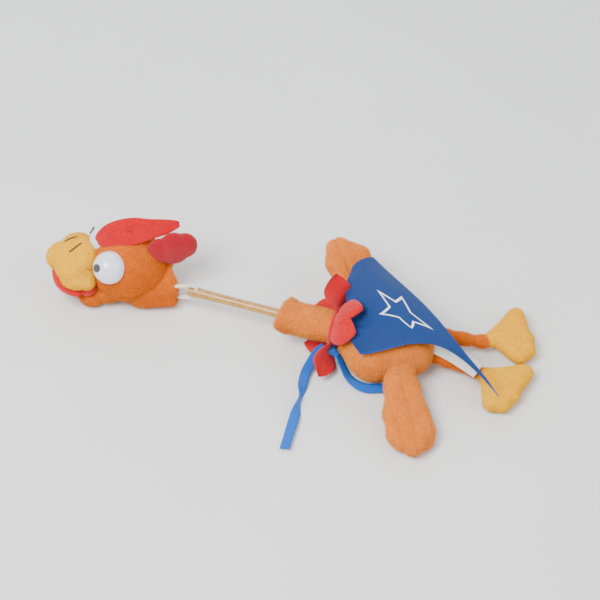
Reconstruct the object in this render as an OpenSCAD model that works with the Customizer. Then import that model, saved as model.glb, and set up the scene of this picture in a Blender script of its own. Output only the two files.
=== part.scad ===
// Soft toy chicken with an elastic neck, lying on its belly with its neck drawn out.
// Millimetres. X runs along the torso, the beak points to -X, +Z is up.
// The origin is the flat patch under the belly that the toy lies on.

/* [Torso] */
// Length of the stuffed torso
torso_l = 54; // [46:1:66]
// Width of the stuffed torso
torso_w = 40; // [34:1:48]
// Height of the stuffed torso
torso_h = 30; // [26:1:36]
// Thickness of the plush cloth
plush_t = 1.2; // [0.8:0.1:1.6]
/* [Neck] */
// Outside diameter of the plush neck sleeve
sleeve_d = 18.6; // [15:0.2:22.4]
// Length of the neck sleeve in front of the collar
sleeve_l = 32; // [26:1:38.4]
// Outside diameter of the latex tube
tube_d = 6; // [5:0.1:7.2]
// Wall of the latex tube
tube_wall = 1.4; // [1:0.1:1.6]
// Length of latex tube that shows in front of the sleeve
tube_l = 60; // [50:1:72]
// Diameter of the cotton cord
cord_d = 2.8; // [2.2:0.1:3.4]
/* [Head] */
// Diameter of the head
head_d = 44; // [36.6:0.2:52.8]
// Diameter of an eye dome
eye_d = 20; // [16:0.5:22]
// Inside width of the finger pocket
pocket_w = 25; // [20:1:30]
// Inside height of the finger pocket
pocket_h = 19; // [15.8:0.1:20]
// Depth of the finger pocket
pocket_l = 32; // [26:1:34]
// Height of the comb above the head
comb_h = 13; // [10:1:18]
/* [Limbs] */
// Length of a wing
wing_l = 52; // [43:1:58]
// Width of a wing
wing_w = 28; // [24:1:32]
// Length of a foot
foot_l = 36; // [30:1:40]
/* [Cape] */
// Thickness of the cape cloth
cape_t = 0.9; // [0.6:0.1:1.2]
// Diameter of the sound case
case_d = 20; // [18:0.5:22]

/* [Hidden] */
gap = 0.4;                  // running gap between soft pieces that move apart
fit = 0.25;                 // gap between a stuffing and its cover
round_fn = 48;
soft_fn = 18;
torso_z = torso_h / 2;
neck_yaw = 151.7;           // turn of the neck from +X to the head
neck_at = [-torso_l / 2, 15.2, 19];  // where the neck leaves the collar
anchor_h = -12.5;              // the tube's inner end, back along the neck
mouth_h = sleeve_l;         // the sleeve's open end
lift_h = mouth_h - 4;       // the neck bends here, just inside the sleeve
tube_end_h = mouth_h + tube_l;
hole_h = tube_end_h - 4.5;  // the cord goes through the tube here
cord_r = cord_d / 2;
head_r = head_d / 2;
head_k = head_d / 44;        // the face grows with the head
// the pocket's mouth follows the end of the tube
neck_dir = [cos(neck_yaw), sin(neck_yaw), 0];
hole_at = neck_at + hole_h * neck_dir;
bead_at = hole_at + [-19.5, 12.3, -8 + 1.3 * (pocket_h - 19)];  // the cord's bead in the head
rim_x = bead_at[0] + 4.5;
pocket_y = bead_at[1] - 6.3 + pocket_w / 2;
pocket_wall = 1.5;
head_at = [rim_x - head_r - 1, pocket_y + 8, head_r];
eye_r = eye_d / 2;
eye_tilt = 34;              // the eyes lean out to each side
eye_forward = 42;           // and forward over the beak
beak_at = head_at + head_k * [-28, 3.5, 4];
wing_near_at = [3, -torso_w / 2 - 2, 14];
wing_far_at = [-3, torso_w / 2 + 5, 16.5];
leg_near_at = [torso_l / 2 + 2, -9, 11];
leg_far_at = [torso_l / 2 + 2, 7, 11];
ankle_near = [leg_near_at[0] + 20, -21, 7];
ankle_far = [leg_far_at[0] + 29, -1, 8];
wing_near_yaw = -91;
wing_far_yaw = 103;
wing_far_rise = 15;
ring_r = sleeve_d / 2 + 1.5;
module_at = [4, 0, torso_z];
neck_shift = [27 - torso_l / 2, 0, 0];  // the ties and the cape's front go with the neck

orange = [0.95, 0.48, 0.06];
pale_orange = [1, 0.68, 0.3];
yellow = [1, 0.8, 0.16];
red = [0.84, 0, 0.1];
blue = [0, 0.35, 0.74];

// a shape in the neck's own frame: its Z runs from the collar to the head
module along_neck(h = 0) {
    translate(neck_at) rotate([0, 90, neck_yaw]) translate([0, 0, h]) children();
}

// one soft bag: balls [x, y, z, r] drawn together, shrunk by in
module bag(balls, in = 0, fn = soft_fn) {
    hull() for (b = balls)
        translate([b[0], b[1], b[2]]) sphere(r = b[3] - in, $fn = fn);
}

// a closed cover with the room for its stuffing
module cover(balls) {
    difference() {
        bag(balls);
        bag(balls, plush_t);
    }
}

function lerp(a, b, t) = a + (b - a) * t;
function unit(v) = v / norm(v);

// a tube with n sides swept along points, with flat ends
module sweep(points, r, n = 8) {
    last = len(points) - 1;
    function way(i) = unit(points[min(i + 1, last)] - points[max(i - 1, 0)]);
    function side(i) = unit(cross(way(i), [0.31, 0.17, 0.93]));
    function ring(i) = [for (k = [0:n - 1]) let (s = side(i), u = cross(s, way(i)), a = 360 * k / n)
        points[i] + r * (cos(a) * s + sin(a) * u)];
    polyhedron(
        points = [for (i = [0:last]) each ring(i)],
        faces = [
            [for (k = [n - 1:-1:0]) k],
            [for (k = [0:n - 1]) last * n + k],
            for (i = [0:last - 1]) for (k = [0:n - 1]) let (j = i + 1, m = (k + 1) % n) each
                [[i * n + k, i * n + m, j * n + m], [i * n + k, j * n + m, j * n + k]]
        ]);
}

// the same for a closed loop that lies in one plane
module closed_sweep(points, normal, r, n = 8) {
    count = len(points);
    function side(i) = unit(cross(points[(i + 1) % count] - points[(i + count - 1) % count], normal));
    polyhedron(
        points = [for (i = [0:count - 1]) for (k = [0:n - 1])
            points[i] + r * (cos(360 * k / n) * side(i) + sin(360 * k / n) * normal)],
        faces = [for (i = [0:count - 1]) for (k = [0:n - 1]) let (j = (i + 1) % count, m = (k + 1) % n)
            each [[i * n + k, i * n + m, j * n + m], [i * n + k, j * n + m, j * n + k]]]);
}

// torso: a pear of balls with the neck root drawn towards the collar
function torso_balls(in = 0) = let (r = torso_h / 2, x = torso_l / 2 - r, y = torso_w / 2 - r) [
    [x, -y, r, r - in], [x, y, r, r - in], [-x + 3, -y, r, r - in], [-x + 3, y, r, r - in],
    [neck_at[0] + 6, 12, 18.4, 10.4 - in]];
module neck_socket(more = 0) {
    translate(neck_at) sphere(r = sleeve_d / 2 + gap + more, $fn = round_fn);
}
module tube_room() {
    along_neck(anchor_h - 3) cylinder(h = 20, d = 15, $fn = round_fn);
}
module torso_skin() color(pale_orange) difference() {
    cover(torso_balls());
    neck_socket();
    tube_room();
}
module torso_stuffing() color("ivory") difference() {
    bag(torso_balls(), plush_t + fit);
    neck_socket(1);
    tube_room();
    translate(module_at + [0, 0, -7]) cylinder(h = torso_h, d = case_d + 2 * fit, $fn = round_fn);
}

// sound module: a round case with a lid, a board, a speaker, cells and a shake switch
module sound_case() color("white") translate(module_at) difference() {
    translate([0, 0, -6.5]) cylinder(h = 11.5, d = case_d, $fn = round_fn);
    translate([0, 0, -5.3]) cylinder(h = 12, d = case_d - 2.4, $fn = round_fn);
}
module sound_lid() color("white") translate(module_at) difference() {
    translate([0, 0, 5.05]) cylinder(h = 1.4, d = case_d, $fn = round_fn);
    for (a = [0:60:300]) rotate([0, 0, a]) translate([5, 0, 0]) cylinder(h = 9, d = 1.4, $fn = round_fn);
}
module circuit_board() color("green") translate(module_at + [0, 0, -1.2])
    cylinder(h = 0.8, d = case_d - 3.2, $fn = round_fn);
module speaker() color("dimgray") translate(module_at + [0, 0, 0.8]) {
    cylinder(h = 2.2, d = case_d - 5, $fn = round_fn);
    translate([0, 0, 2.2]) cylinder(h = 1.2, d = case_d - 9, $fn = round_fn);
}
module battery_cells() color("silver") for (x = [-4.1, 4.1])
    translate(module_at + [x, 0, -5]) cylinder(h = 3.5, d = 7.9, $fn = round_fn);
module shake_switch() color("gold") translate(module_at + [0, 5.9, -3.2]) rotate([0, 90, 0])
    cylinder(h = 5, d = 2, center = true, $fn = round_fn);

// felt collar: a ring with six petals, [turn about the neck from straight down, reach, lean, width]
petals = [[290, 24, 62, 17], [215, 26, 20, 18], [70, 24, -5, 17], [0, 22, 66, 14]];
back_petals = [[186, 20, -43, 15], [150, 20, -43, 15]];
ring_t = 1.6;
module petal(reach, wide) {
    linear_extrude(1.4) hull() {
        circle(d = 5, $fn = 24);
        translate([reach * 0.45, 0]) circle(d = wide, $fn = 32);
        translate([reach - 1.5, 0]) circle(d = 3, $fn = 24);
    }
}
module petal_row(row)
    for (p = row) rotate([0, 0, p[0]]) translate([ring_r, 0, 0]) rotate([0, -p[2], 0]) petal(p[1], p[3]);
// the two petals that lie back over the cape, and go up with it
module collar_back_petals() color(red) difference() {
    along_neck() petal_row(back_petals);
    translate([-90, -90, neck_at[2] + ring_r + ring_t + 1.6 - 90]) cube([180, 180, 90]);
}
module collar() color(red) difference() {
    along_neck() union() {
        translate([0, 0, -1.2]) cylinder(h = 2.6, r = ring_r + ring_t, $fn = round_fn);
        petal_row(petals);
    }
    along_neck(-30) cylinder(h = 80, r = ring_r, $fn = round_fn);
    translate([-90, -90, -60]) cube([180, 180, 60.3]);
}
module cape_neckband() color([0.02, 0.08, 0.28]) along_neck(-4.2) difference() {
    cylinder(h = 2, r = ring_r + 2, $fn = round_fn);
    translate([0, 0, -1]) cylinder(h = 4, r = ring_r + 1, $fn = round_fn);
}

// ribbon ties, each a flat ribbon's route as a slim tube
tie_r = 1.4;
tie_front_route = [[-34.5, 10, 9], [-39, 8.5, 7.2], [-43.5, 4, 5], [-48.6, -3, 3.2], [-52, -12, 3], [-55, -21, 3],
    [-59.5, -31, 3], [-64.5, -42, 2.6], [-69.5, -53, 2.2]];
tie_side_route = [[-28, 3.5, 10], [-26, -5, 6], [-24, -11, 4], [-20, -16, 3], [-15, -19, 2.4], [-9, -20, 2.2],
    [-3, -21, 2.2], [3, -23, 2.2], [10, -27, 2.2]];
module tie_front() color(blue) translate(neck_shift) sweep(tie_front_route, tie_r);
module tie_side() color(blue) translate(neck_shift) sweep(tie_side_route, tie_r);
module care_label() color("white")
    translate([leg_near_at[0] + 1, -4, 20]) rotate([0, 8, -44]) translate([0, -5.5, 0]) cube([27, 11, 0.8]);

// neck
module neck_sleeve() color(pale_orange) difference() {
    union() {
        along_neck() cylinder(h = sleeve_l, d = sleeve_d, $fn = round_fn);
        translate(neck_at) sphere(d = sleeve_d, $fn = round_fn);
    }
    along_neck(2) cylinder(h = sleeve_l, d = sleeve_d - 3.2, $fn = round_fn);
    along_neck(-20) cylinder(h = 30, d = tube_d + 2.4, $fn = round_fn);
}
module neck_tube() color([0.87, 0.7, 0.35]) difference() {
    along_neck(anchor_h) cylinder(h = tube_end_h - anchor_h, d = tube_d, $fn = round_fn);
    along_neck(anchor_h - 1) cylinder(h = tube_end_h - anchor_h + 2, d = tube_d - 2 * tube_wall, $fn = round_fn);
    translate(hole_at) cylinder(h = 20, d = cord_d + 0.3, center = true, $fn = round_fn);
}
module tube_anchor() color("white") along_neck(anchor_h - 1.5) difference() {
    cylinder(h = 2.6, d = 13.6, $fn = round_fn);
    translate([0, 0, 1.4]) cylinder(h = 3, d = tube_d + 0.1, $fn = round_fn);
}

// the cord: a closed loop, down through the tube and up through the bead
loop_rise = tube_d / 2 + 2.8;
loop_turn = 2;
function corner(c, u, v, t) = [for (a = [0:30:90])
    c + u * (loop_turn * sin(a) - loop_turn) + v * t * (loop_turn * cos(a) - loop_turn)];
module neck_cord() {
    u = unit([bead_at[0] - hole_at[0], bead_at[1] - hole_at[1], 0]);
    v = [0, 0, 1];
    far_rise = loop_rise - 2;
    route = concat(
        corner(hole_at + v * loop_rise, -u, v, 1), reverse(corner(hole_at - v * loop_rise, -u, v, -1)),
        corner(bead_at - v * far_rise, u, v, -1), reverse(corner(bead_at + v * far_rise, u, v, 1)));
    color("linen") closed_sweep(route, cross(u, v), cord_r);
}
function reverse(list) = [for (i = [len(list) - 1:-1:0]) list[i]];
module head_bead() color("white") translate(bead_at) difference() {
    cylinder(h = 3.2, d = 5.6, center = true, $fn = round_fn);
    cylinder(h = 9, d = cord_d + 0.3, center = true, $fn = round_fn);
}

// head
module pocket_form(grow = 0, extra = 0) {
    w = pocket_w + 2 * grow;
    h = pocket_h + 2 * grow;
    r = h / 2 - 2;
    translate([rim_x + extra, pocket_y, pocket_wall + pocket_h / 2]) rotate([0, -90, 0])
        linear_extrude(pocket_l + grow + extra) {
            square([h - 2 * r, w], center = true);
            square([h, w - 2 * r], center = true);
            for (x = [-1, 1]) for (y = [-1, 1]) translate([x * (h / 2 - r), y * (w / 2 - r)])
                circle(r = r, $fn = round_fn);
        }
}
module head_socket() {
    pocket_form(pocket_wall + fit, 20);
    for (s = [-1, 1]) eye_place(s) translate([0, 0, -6]) cylinder(h = 12, d = 4.4, $fn = round_fn);
}
head_ball = [[head_at[0], head_at[1], head_at[2], head_r]];
module head_skin() color(orange) difference() {
    bag(head_ball, 0, 36);
    bag(head_ball, plush_t, 36);
    pocket_form(pocket_wall + fit, 20);
}
module head_stuffing() color("ivory") difference() {
    bag(head_ball, plush_t + fit, 36);
    head_socket();
    for (s = [-1, 1]) eye_place(s) translate([0, 0, -6.2]) cylinder(h = 3.4, d = 12.6, $fn = round_fn);
}
module finger_pocket() color(pale_orange) difference() {
    pocket_form(pocket_wall);
    pocket_form(0, 10);
}
module pocket_rim() color(orange) difference() {
    intersection() {
        pocket_form(pocket_wall + 2, 2);
        translate([rim_x - 0.8, -200, 0]) cube([20, 500, 100]);
    }
    pocket_form(pocket_wall + 0.02, 10);
}
// a stuffed lip round the front of the head, its middle at a height z from the head's, from balls [x, y]
module lip(spots, z, r) difference() {
    bag([for (p = spots) concat(head_at, 0) + head_k * [p[0], p[1], z, r]]);
    translate(head_at) sphere(d = head_d + 0.4, $fn = round_fn);
}
module chin() color(orange) lip([[-24, -9], [-30, 3], [-24, 14], [-18, 3]], -16.4, 5);
module mouth_lining() color(red) lip([[-26, -9], [-34, 3], [-26, 15], [-16, 3]], -6.8, 3.2);
beak_balls = [for (b = head_k * [[-12, 2, -2, 4.5], [2, -13, -4, 5], [2, 11, -4, 4.4], [3, 0, 1, 7]])
    b + concat(beak_at, 0)];
module beak_cuts(more) {
    translate(head_at) sphere(d = head_d + 0.3 + 2 * more, $fn = round_fn);
    translate([-300, -100, 18.8 * head_k + more - 100]) cube([300, 300, 100]);
}
module beak() color(yellow) difference() {
    cover(beak_balls);
    beak_cuts(0);
}
module beak_stuffing() color("ivory") difference() {
    bag(beak_balls, plush_t + fit);
    beak_cuts(0.6);
}
module nostril_stitches() color([0.12, 0.05, 0.05]) for (s = [-1, 1])
    translate(beak_at + head_k * [-3, s * 5, 6.6]) rotate([0, 70, s * 28])
        cylinder(h = 7, d = 1, center = true, $fn = 24);

// eyes: domes on shanks, each held by a washer inside the head
module eye_place(s) {
    translate(head_at) rotate([s * eye_tilt, -eye_forward, 0]) translate([0, 0, head_r]) children();
}
module eye(s) color("aliceblue") difference() {
    eye_place(s) union() {
        intersection() {
            translate([0, 0, -1.5]) sphere(r = eye_r, $fn = round_fn);
            translate([0, 0, 4]) cube([60, 60, 12], center = true);
        }
        translate([0, 0, -6]) cylinder(h = 7, d = 4, $fn = round_fn);
    }
    translate(head_at) difference() {
        sphere(d = head_d + 0.1, $fn = round_fn);
        rotate([s * eye_tilt, -eye_forward, 0]) cylinder(h = 60, d = 4, $fn = round_fn);
    }
    eye_place(s) rotate([-s * 12, -14, 0]) translate([0, 0, eye_r - 2.3]) cylinder(h = 9, d = 5, $fn = round_fn);
}
module pupil(s) color("black") eye_place(s) rotate([-s * 12, -14, 0]) translate([0, 0, eye_r - 2.28])
    cylinder(h = 1.4, d = 4.9, $fn = round_fn);
module eye_near() eye(1);
module eye_far() eye(-1);
module pupil_near() pupil(1);
module pupil_far() pupil(-1);
module eye_washers() color("white") for (s = [-1, 1]) eye_place(s) translate([0, 0, -5.6]) difference() {
    cylinder(h = 1.6, d = 11, $fn = round_fn);
    translate([0, 0, -1]) cylinder(h = 5, d = 4.04, $fn = round_fn);
}

// comb: a long felt leaf stood on the head, and a lobe behind it
comb_t = 3.2;
module comb_leaf(points, dia) {
    translate([head_at[0], head_at[1] + 3 + comb_t / 2, head_d]) rotate([90, 0, 0])
        linear_extrude(comb_t) hull() for (p = points) translate([p[0], p[1]]) circle(d = p[2], $fn = 32);
}
module comb_front() color(red) difference() {
    comb_leaf([[-16 * head_k, 0, 3], [-8, comb_h - 6, 9], [6, comb_h - 5, 10], [26 * head_k, comb_h - 6, 7],
        [18 * head_k, 0, 6]]);
    translate(head_at) sphere(d = head_d + 0.1, $fn = round_fn);
}
module comb_rear() color([0.66, 0, 0.08]) difference() {
    translate(head_at) bag([[20 * head_k, -1.5, 14 * head_k, 7], [20 * head_k + 11, -2.5, 14 * head_k - 2, 8]]);
    translate(head_at) sphere(d = head_d + 0.1, $fn = round_fn);
    translate([-300, head_at[1] + 3 - comb_t / 2 - 0.05, 0]) cube([300, 60, 100]);
}
module comb_stitches() color([0.4, 0, 0.05]) for (x = [2, 3.4])
    translate([head_at[0] + x, head_at[1] + 3 - comb_t / 2 - 0.45, head_d + comb_h - 6]) sphere(d = 0.8, $fn = 24);

// cape: one stiff sheet over the back, from the collar to a drooping tail
// corners and edges as places on the cloth, from the front edge to the hem
cape_front = [for (p = [[-19, -15, 29], [-24, 4, 31.4], [-21, 14, 32.4], [-18, 32, 34], [-11, 48, 34]]) p + neck_shift];
cape_hem = [[56, -50, 14.5], [49, -36, 24], [36, -16, 33], [20, 16, 37], [3, 54, 34]];
cape_swell = 6;
cape_tuck = [3, 17, 9];
cape_u = 12;
cape_v = 10;
// a smooth curve through five places
function span(p, t) = let (i = min(3, floor(t * 4)), f = t * 4 - i,
    a = p[max(i - 1, 0)], b = p[i], c = p[i + 1], d = p[min(i + 2, 4)])
    b + 0.5 * f * (c - a + f * (2 * a - 5 * b + 4 * c - d + f * (3 * (b - c) + d - a)));
function cape_point(u, v) = let (a = span(cape_front, u), b = span(cape_hem, u))
    lerp(a, b, v) + [0, 0, cape_swell * sin(180 * v) * sin(27 + 126 * u)]
        + cape_tuck * sin(180 * pow(v, 1.3)) * pow(1 - u, 3);
module cape() {
    n = (cape_u + 1) * (cape_v + 1);
    function at(i, j) = j * (cape_u + 1) + i;
    top = [for (j = [0:cape_v]) for (i = [0:cape_u]) cape_point(i / cape_u, j / cape_v)];
    edge = concat([for (i = [0:cape_u]) at(i, 0)], [for (j = [1:cape_v]) at(cape_u, j)],
        [for (i = [cape_u - 1:-1:0]) at(i, cape_v)], [for (j = [cape_v - 1:-1:1]) at(0, j)]);
    color(blue) polyhedron(
        points = concat(top, [for (p = top) p - [0, 0, cape_t]]),
        faces = [
            for (j = [0:cape_v - 1]) for (i = [0:cape_u - 1]) each [
                [at(i, j), at(i + 1, j), at(i, j + 1)], [at(i + 1, j), at(i + 1, j + 1), at(i, j + 1)],
                [n + at(i, j), n + at(i, j + 1), n + at(i + 1, j)],
                [n + at(i + 1, j), n + at(i, j + 1), n + at(i + 1, j + 1)]],
            for (k = [0:len(edge) - 1]) let (a = edge[k], b = edge[(k + 1) % len(edge)])
                each [[b, a, n + b], [a, n + a, n + b]]
        ]);
}
// a star's outline that follows the cape's cloth
star_points = 5;
star_steps = 4;
module cape_emblem() {
    n = 2 * star_points * star_steps;
    function tip(k, share) = let (a = 180 * k / star_points, r = share * (k % 2 == 0 ? 1 : 0.46)) [r * cos(a), r * sin(a)];
    function spot(i, share, lift) = let (k = floor(i / star_steps),
        p = lerp(tip(k, share), tip(k + 1, share), i / star_steps - k))
        cape_point(0.47 + 0.24 * p[0], 0.56 + 0.27 * p[1]) + [0, 0, lift];
    color("white") polyhedron(
        points = [for (c = [[1, 0.9], [1, 0.4], [0.8, 0.4], [0.8, 0.9]]) for (i = [0:n - 1]) spot(i, c[0], c[1])],
        faces = [for (c = [0:3]) for (i = [0:n - 1]) let (d = (c + 1) % 4 * n, e = c * n, m = (i + 1) % n)
            each [[e + i, d + m, e + m], [e + i, d + i, d + m]]]);
}

// wings: a flat lobe of plush with its stuffing, [along, across, up, radius]
function wing_balls() = [[3, -wing_w / 2 + 9, 0, 4], [3, wing_w / 2 - 9, 0, 4],
    [wing_l - wing_w / 2, -wing_w / 2 + 5, 0, 5], [wing_l - wing_w / 2, wing_w / 2 - 5, 0, 5], [wing_l - 5, 0, 0, 4.6]];
module wing_near_place() translate(wing_near_at) rotate([0, 0, wing_near_yaw]) rotate([0, 9, 0]) children();
module wing_far_place() translate(wing_far_at) rotate([0, 0, wing_far_yaw]) rotate([0, -wing_far_rise, 0]) children();
module wing_near() color(pale_orange) wing_near_place() cover(wing_balls());
module wing_near_stuffing() color("ivory") wing_near_place() bag(wing_balls(), plush_t + fit);
module wing_far() color(pale_orange) wing_far_place() cover(wing_balls());
module wing_far_stuffing() color("ivory") wing_far_place() bag(wing_balls(), plush_t + fit);

// legs and feet
module leg(from, to) color(orange) bag([[from[0] + 4.5, lerp(from[1], to[1], 0.15), from[2], 4], [to[0], to[1], to[2], 3.6]]);
module leg_near() leg(leg_near_at, ankle_near);
module leg_far() leg(leg_far_at, ankle_far);
function foot_balls(at, turn) = let (c = cos(turn), s = sin(turn), k = foot_l / 36)
    [for (p = [[8.5, 0, 0, 4], [24, -13 * k, -1, 5], [26 * k, 13 * k, 0, 5], [18, -16 * k, -1, 4.5]])
        [at[0] + c * p[0] - s * p[1], at[1] + s * p[0] + c * p[1], at[2] + p[2], p[3]]];
module foot_near() color(yellow) cover(foot_balls(ankle_near, -40));
module foot_near_stuffing() color("ivory") bag(foot_balls(ankle_near, -40), plush_t + fit);
module foot_far() color(yellow) cover(foot_balls(ankle_far, 5));
module foot_far_stuffing() color("ivory") bag(foot_balls(ankle_far, 5), plush_t + fit);

torso_skin();
torso_stuffing();
sound_case();
sound_lid();
circuit_board();
speaker();
battery_cells();
shake_switch();
collar();
collar_back_petals();
cape_neckband();
tie_front();
tie_side();
care_label();
neck_sleeve();
neck_tube();
tube_anchor();
neck_cord();
head_bead();
head_skin();
head_stuffing();
finger_pocket();
pocket_rim();
chin();
mouth_lining();
beak();
beak_stuffing();
nostril_stitches();
eye_near();
eye_far();
pupil_near();
pupil_far();
eye_washers();
comb_front();
comb_rear();
comb_stitches();
cape();
cape_emblem();
wing_near();
wing_near_stuffing();
wing_far();
wing_far_stuffing();
leg_near();
leg_far();
foot_near();
foot_near_stuffing();
foot_far();
foot_far_stuffing();
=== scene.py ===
# Soft toy chicken with a stretchy tube neck, a felt comb and collar, and a blue cape.
# Metres throughout; sizes in millimetres are turned into metres by MM.
import math

import bmesh
import bpy
from mathutils import Euler, Matrix, Vector, noise


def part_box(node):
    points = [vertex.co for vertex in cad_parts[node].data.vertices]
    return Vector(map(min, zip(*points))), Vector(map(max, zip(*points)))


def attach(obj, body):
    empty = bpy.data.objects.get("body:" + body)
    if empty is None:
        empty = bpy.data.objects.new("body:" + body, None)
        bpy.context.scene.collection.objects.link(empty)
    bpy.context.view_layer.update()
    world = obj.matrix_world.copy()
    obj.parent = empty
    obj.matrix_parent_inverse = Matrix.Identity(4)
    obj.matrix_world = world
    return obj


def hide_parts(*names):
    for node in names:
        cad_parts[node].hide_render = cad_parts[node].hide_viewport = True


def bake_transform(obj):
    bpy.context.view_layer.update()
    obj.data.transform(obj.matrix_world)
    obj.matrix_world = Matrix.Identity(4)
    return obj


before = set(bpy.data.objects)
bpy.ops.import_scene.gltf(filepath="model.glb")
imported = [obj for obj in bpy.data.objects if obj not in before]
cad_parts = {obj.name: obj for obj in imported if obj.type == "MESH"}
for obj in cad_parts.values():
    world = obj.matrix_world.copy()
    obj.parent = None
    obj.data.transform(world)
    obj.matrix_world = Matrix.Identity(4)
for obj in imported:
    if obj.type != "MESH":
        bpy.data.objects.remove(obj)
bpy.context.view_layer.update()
MM = 0.001


# ---------------------------------------------------------------- camera, light and floor

def middle(node):
    low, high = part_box(node)
    return (Vector(low) + Vector(high)) / 2


HEAD = middle("head_skin")
SLEEVE_FOOT = Vector((-27, 15.2, 19)) * MM
NECK_TURN = math.radians(151.7)
NECK_WAY = Vector((math.cos(NECK_TURN), math.sin(NECK_TURN), 0))
UP = Vector((0, 0, 1))
NECK_SIDE = UP.cross(NECK_WAY)


def set_camera():
    data = bpy.data.cameras.new("camera")
    data.lens = 100
    data.sensor_width = 36
    data.clip_start = 0.05
    data.clip_end = 20
    camera = bpy.data.objects.new("camera", data)
    bpy.context.collection.objects.link(camera)
    turn, rise, far = math.radians(-10), math.radians(50), 1.0
    back = Vector((math.sin(turn) * math.cos(rise), -math.cos(turn) * math.cos(rise), math.sin(rise)))
    target = Vector((-43.5, 43.5, 15)) * MM
    camera.location = target + back * far
    camera.rotation_euler = back.to_track_quat("Z", "Y").to_euler()
    bpy.context.scene.camera = camera


def area_light(name, place, size, power, colour=(1, 1, 1)):
    data = bpy.data.lights.new(name, "AREA")
    data.size = size
    data.energy = power
    data.color = colour
    lamp = bpy.data.objects.new(name, data)
    bpy.context.collection.objects.link(lamp)
    lamp.location = place
    lamp.rotation_euler = (Vector(place) - Vector((-0.04, 0.03, 0.01))).to_track_quat("Z", "Y").to_euler()


def set_stage():
    area_light("key_light", (-0.5, -0.25, 0.9), 0.5, 16)
    area_light("fill_light", (0.8, -0.5, 0.6), 0.8, 5, (1, 0.98, 0.95))
    area_light("back_light", (0.1, 0.9, 0.6), 0.7, 3.6, (0.95, 0.98, 1))
    world = bpy.data.worlds.new("studio")
    bpy.context.scene.world = world
    world.use_nodes = True
    world.node_tree.nodes["Background"].inputs["Color"].default_value = (0.95, 0.97, 1, 1)
    world.node_tree.nodes["Background"].inputs["Strength"].default_value = 0.95
    floor_mesh = bpy.data.meshes.new("floor")
    floor_mesh.from_pydata([(-3, -3, 0), (3, -3, 0), (3, 3, 0), (-3, 3, 0)], [], [(0, 1, 2, 3)])
    floor = bpy.data.objects.new("floor", floor_mesh)
    bpy.context.collection.objects.link(floor)
    floor_mesh.materials.append(plain_floor())


# ---------------------------------------------------------------- materials

class Shader:
    """A material with one Principled shader, and short ways to add the nodes that feed it."""

    def __init__(self, name, rough, **constant):
        self.material = bpy.data.materials.new(name)
        self.material.use_nodes = True
        self.tree = self.material.node_tree
        self.main = self.tree.nodes["Principled BSDF"]
        self.main.inputs["Roughness"].default_value = rough
        for socket, value in constant.items():
            self.main.inputs[socket.replace("_", " ")].default_value = value
        self.place = self.add("ShaderNodeTexCoord").outputs["Object"]

    def add(self, kind, **settings):
        node = self.tree.nodes.new(kind)
        for key, value in settings.items():
            setattr(node, key, value)
        return node

    def join(self, out, to):
        self.tree.links.new(out, to)

    def noise(self, scale, detail=3, rough=0.6, stretch=None):
        node = self.add("ShaderNodeTexNoise")
        node.inputs["Scale"].default_value = scale
        node.inputs["Detail"].default_value = detail
        node.inputs["Roughness"].default_value = rough
        self.join(self.stretched(stretch), node.inputs["Vector"])
        return node.outputs["Fac"]

    def stretched(self, stretch):
        if stretch is None:
            return self.place
        node = self.add("ShaderNodeMapping")
        node.inputs["Scale"].default_value = stretch
        self.join(self.place, node.inputs["Vector"])
        return node.outputs["Vector"]

    def wave(self, scale, way, distort=0.6):
        node = self.add("ShaderNodeTexWave", bands_direction=way)
        node.inputs["Scale"].default_value = scale
        node.inputs["Distortion"].default_value = distort
        node.inputs["Detail"].default_value = 1
        node.inputs["Detail Scale"].default_value = 2
        self.join(self.place, node.inputs["Vector"])
        return node.outputs["Fac"]

    def ramp(self, value, *stops):
        node = self.add("ShaderNodeValToRGB")
        while len(node.color_ramp.elements) < len(stops):
            node.color_ramp.elements.new(0.5)
        for element, (at, colour) in zip(node.color_ramp.elements, stops):
            element.position = at
            element.color = (*colour, 1)
        self.join(value, node.inputs["Fac"])
        return node.outputs["Color"]

    def mix(self, share, a, b, how="MIX"):
        node = self.add("ShaderNodeMix", data_type="RGBA", blend_type=how)
        if isinstance(share, float):
            node.inputs["Factor"].default_value = share
        else:
            self.join(share, node.inputs["Factor"])
        for socket, value in ((node.inputs[6], a), (node.inputs[7], b)):
            if isinstance(value, tuple):
                socket.default_value = (*value, 1)
            else:
                self.join(value, socket)
        return node.outputs[2]

    def sum(self, a, b, share=1.0, how="ADD"):
        node = self.add("ShaderNodeMath", operation="MULTIPLY_ADD" if how == "ADD" else how)
        self.join(b, node.inputs[0])
        node.inputs[1].default_value = share
        if how == "ADD":
            self.join(a, node.inputs[2])
        else:
            self.join(a, node.inputs[1])
        return node.outputs[0]

    def colour(self, out):
        self.join(out, self.main.inputs["Base Color"])
        return self

    def bump(self, height, depth, strength=1.0):
        node = self.add("ShaderNodeBump")
        node.inputs["Strength"].default_value = strength
        node.inputs["Distance"].default_value = depth
        self.join(height, node.inputs["Height"])
        self.join(node.outputs["Normal"], self.main.inputs["Normal"])
        return self

    def roughness(self, value, low, high):
        node = self.add("ShaderNodeMapRange")
        node.inputs["To Min"].default_value = low
        node.inputs["To Max"].default_value = high
        self.join(value, node.inputs["Value"])
        self.join(node.outputs["Result"], self.main.inputs["Roughness"])
        return self


def darker(colour, share):
    return tuple(c * share for c in colour)


def plain_floor():
    s = Shader("pale_floor", 0.8)
    s.colour(s.ramp(s.noise(6, 2), (0.3, (0.74, 0.74, 0.73)), (0.7, (0.78, 0.78, 0.77))))
    return s.material


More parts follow.
